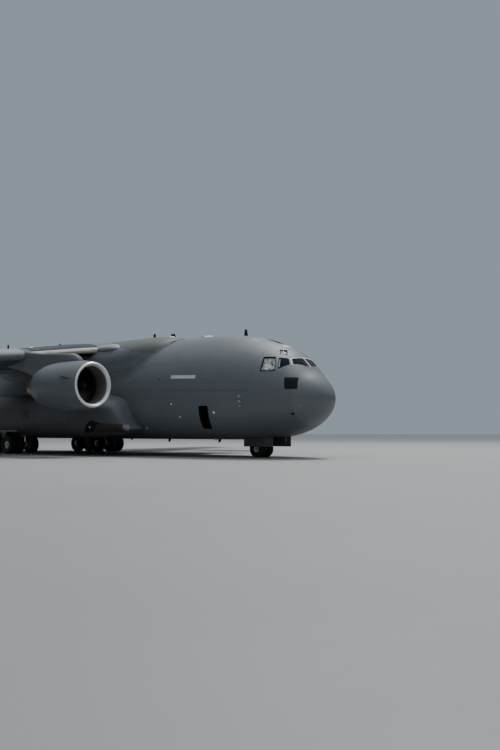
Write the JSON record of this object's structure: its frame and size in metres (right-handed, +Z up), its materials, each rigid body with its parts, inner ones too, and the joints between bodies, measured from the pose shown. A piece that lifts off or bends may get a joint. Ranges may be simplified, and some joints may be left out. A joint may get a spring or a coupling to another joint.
{
  "type": "military transport plane, scale model at 1:2",
  "caption": "High-wing jet transport plane with a rear cargo ramp, T-tail, podded engines and steered nose gear, parked on its wheels.",
  "frame": {"origin": "middle of the bounding box's base, on the ground under the fuselage's centre plane", "axes": "+X forward to the nose, +Y to the aircraft's left, +Z up"},
  "size_m": [26.52, 25.8694, 8.395],
  "materials": {
    "airframe": "satin",
    "radome": "matte",
    "surface": "satin",
    "window": "gloss",
    "interior": "matte",
    "cowl": "satin",
    "engine": "satin",
    "fan": "satin",
    "gear": "gloss",
    "tyre": "matte"
  },
  "bodies": {
    "airframe": {"cockpit_shell": "airframe", "forward_fuselage": "airframe", "centre_fuselage": "airframe", "aft_fuselage": "airframe", "tail_cone": "airframe", "wing_fairing": "airframe", "radome": "radome", "flight_deck": "interior", "cargo_floor": "interior", "windshield_left": "window", "side_window_left": "window", "aft_window_left": "window", "wing_left": "airframe", "gear_pod_left": "surface", "main_leg_front_left": "gear", "main_leg_rear_left": "gear", "windshield_right": "window", "side_window_right": "window", "aft_window_right": "window", "wing_right": "airframe", "gear_pod_right": "surface", "main_leg_front_right": "gear", "main_leg_rear_right": "gear", "fin": "airframe", "stabilizer": "airframe", "pylon_1": "airframe", "nacelle_1": "cowl", "engine_core_1": "engine", "pylon_2": "airframe", "nacelle_2": "cowl", "engine_core_2": "engine", "pylon_3": "airframe", "nacelle_3": "cowl", "engine_core_3": "engine", "pylon_4": "airframe", "nacelle_4": "cowl", "engine_core_4": "engine", "nose_door_left": "airframe", "nose_door_right": "airframe", "nose_leg": "gear"},
    "main_wheels_front_left": {"main_wheels_front_left": "tyre"},
    "main_wheels_rear_left": {"main_wheels_rear_left": "tyre"},
    "main_wheels_front_right": {"main_wheels_front_right": "tyre"},
    "main_wheels_rear_right": {"main_wheels_rear_right": "tyre"},
    "nose_fork": {"nose_fork": "gear"},
    "nose_wheels": {"nose_wheels": "tyre"},
    "fan_1": {"fan_1": "fan"},
    "fan_2": {"fan_2": "fan"},
    "fan_3": {"fan_3": "fan"},
    "fan_4": {"fan_4": "fan"},
    "cargo_ramp": {"cargo_ramp": "airframe"},
    "cargo_door": {"cargo_door": "airframe"},
    "crew_door": {"crew_door": "airframe"},
    "flap_left": {"flap_left": "surface"},
    "aileron_left": {"aileron_left": "surface"},
    "elevator_left": {"elevator_left": "surface"},
    "flap_right": {"flap_right": "surface"},
    "aileron_right": {"aileron_right": "surface"},
    "elevator_right": {"elevator_right": "surface"},
    "rudder": {"rudder": "surface"}
  },
  "joints": [
    {"name": "main_wheels_front_left_spin", "type": "hinge", "parent": "airframe", "child": "main_wheels_front_left", "pos_m": [1.375, 1.98, 0.3114], "axis": [0, 1, 0], "continuous": true},
    {"name": "main_wheels_rear_left_spin", "type": "hinge", "parent": "airframe", "child": "main_wheels_rear_left", "pos_m": [0.145, 1.98, 0.3114], "axis": [0, 1, 0], "continuous": true},
    {"name": "main_wheels_front_right_spin", "type": "hinge", "parent": "airframe", "child": "main_wheels_front_right", "pos_m": [1.375, -1.98, 0.3114], "axis": [0, 1, 0], "continuous": true},
    {"name": "main_wheels_rear_right_spin", "type": "hinge", "parent": "airframe", "child": "main_wheels_rear_right", "pos_m": [0.145, -1.98, 0.3114], "axis": [0, 1, 0], "continuous": true},
    {"name": "nose_steering", "type": "hinge", "parent": "airframe", "child": "nose_fork", "pos_m": [10.785, 0, 0.5], "axis": [0, 0, 1], "range_deg": [-65, 65]},
    {"name": "nose_wheels_spin", "type": "hinge", "parent": "nose_fork", "child": "nose_wheels", "pos_m": [10.785, 0, 0.24912], "axis": [0, 1, 0], "continuous": true},
    {"name": "fan_1_spin", "type": "hinge", "parent": "airframe", "child": "fan_1", "pos_m": [4.90634, 6.55, 1.90542], "axis": [1, 0, 0], "continuous": true},
    {"name": "fan_2_spin", "type": "hinge", "parent": "airframe", "child": "fan_2", "pos_m": [6.57, 3.5, 2.14], "axis": [1, 0, 0], "continuous": true},
    {"name": "fan_3_spin", "type": "hinge", "parent": "airframe", "child": "fan_3", "pos_m": [6.57, -3.5, 2.14], "axis": [1, 0, 0], "continuous": true},
    {"name": "fan_4_spin", "type": "hinge", "parent": "airframe", "child": "fan_4", "pos_m": [4.90634, -6.55, 1.90542], "axis": [1, 0, 0], "continuous": true},
    {"name": "ramp_hinge", "type": "hinge", "parent": "airframe", "child": "cargo_ramp", "pos_m": [-1.265, 0, 0.56], "axis": [0, -1, 0], "range_deg": [0, 23.5]},
    {"name": "cargo_door_hinge", "type": "hinge", "parent": "airframe", "child": "cargo_door", "pos_m": [-7.19, 0, 2.41], "axis": [0, -1, 0], "range_deg": [0, 22]},
    {"name": "crew_door_hinge", "type": "hinge", "parent": "airframe", "child": "crew_door", "pos_m": [9.985, 1.4639, 0.84], "axis": [-1, 0, 0], "range_deg": [0, 130]},
    {"name": "flap_left_hinge", "type": "hinge", "parent": "airframe", "child": "flap_left", "pos_m": [1.12874, 2.4, 3.1608], "axis": [0.2971, -0.9532, 0.0553], "range_deg": [0, 35]},
    {"name": "aileron_left_hinge", "type": "hinge", "parent": "airframe", "child": "aileron_left", "pos_m": [-1.03736, 9.35, 2.7577], "axis": [0.2971, -0.9532, 0.0553], "range_deg": [-25, 20]},
    {"name": "elevator_left_hinge", "type": "hinge", "parent": "airframe", "child": "elevator_left", "pos_m": [-11.61454, 0.625, 8.19495], "axis": [0.2972, -0.9548, 0.0077], "range_deg": [-25, 15]},
    {"name": "flap_right_hinge", "type": "hinge", "parent": "airframe", "child": "flap_right", "pos_m": [1.12874, -2.4, 3.1608], "axis": [-0.2971, -0.9532, -0.0553], "range_deg": [0, 35]},
    {"name": "aileron_right_hinge", "type": "hinge", "parent": "airframe", "child": "aileron_right", "pos_m": [-1.03736, -9.35, 2.7577], "axis": [-0.2971, -0.9532, -0.0553], "range_deg": [-25, 20]},
    {"name": "elevator_right_hinge", "type": "hinge", "parent": "airframe", "child": "elevator_right", "pos_m": [-11.61454, -0.625, 8.19495], "axis": [-0.2972, -0.9548, -0.0077], "range_deg": [-25, 15]},
    {"name": "rudder_hinge", "type": "hinge", "parent": "airframe", "child": "rudder", "pos_m": [-8.9057, 0, 3.585], "axis": [-0.4924, 0, 0.8704], "range_deg": [-25, 25]}
  ]
}
